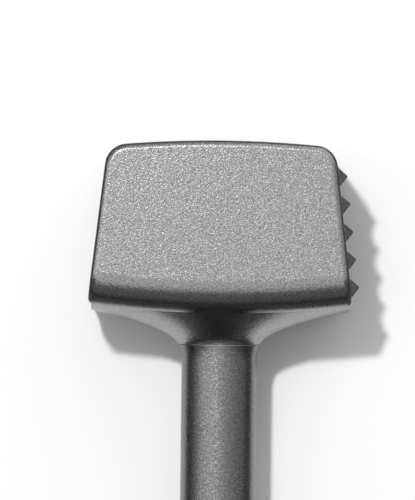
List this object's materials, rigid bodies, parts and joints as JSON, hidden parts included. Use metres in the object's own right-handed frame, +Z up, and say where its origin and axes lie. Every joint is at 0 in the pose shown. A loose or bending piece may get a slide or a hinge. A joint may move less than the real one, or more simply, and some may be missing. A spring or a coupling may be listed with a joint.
{
  "type": "meat tenderizer",
  "caption": "Two-sided meat hammer: cast head with a smooth strike face and a face of pyramid teeth, flared neck, round metal shaft, soft grooved grip and hang hole.",
  "frame": {"origin": "on the back broad face of the head, in line with the shaft and level with the middle of the head", "axes": "+X towards the toothed strike face, +Y along the shaft towards the crown of the head, +Z up from the back broad face to the front broad face"},
  "size_m": [0.0811, 0.2601, 0.058],
  "materials": {
    "grained_alloy": "dark grey, fine cast grain, satin",
    "shaft_alloy": "dark grey, fine cast grain, satin",
    "steel": "turned steel",
    "eyelet_steel": "rolled stainless steel",
    "core_plastic": "fine spark texture",
    "grip_rubber": "soft matte",
    "seal_rubber": "matte"
  },
  "bodies": {
    "root": {"head_casting": "grained_alloy", "thread_insert": "steel", "neck_seal": "seal_rubber", "shaft_sleeve": "shaft_alloy", "tie_rod": "steel", "grip_core": "core_plastic", "grip_sleeve": "grip_rubber", "washer": "steel", "lock_nut": "steel", "butt_cap": "core_plastic", "hang_eyelet": "eyelet_steel"}
  },
  "joints": []
}
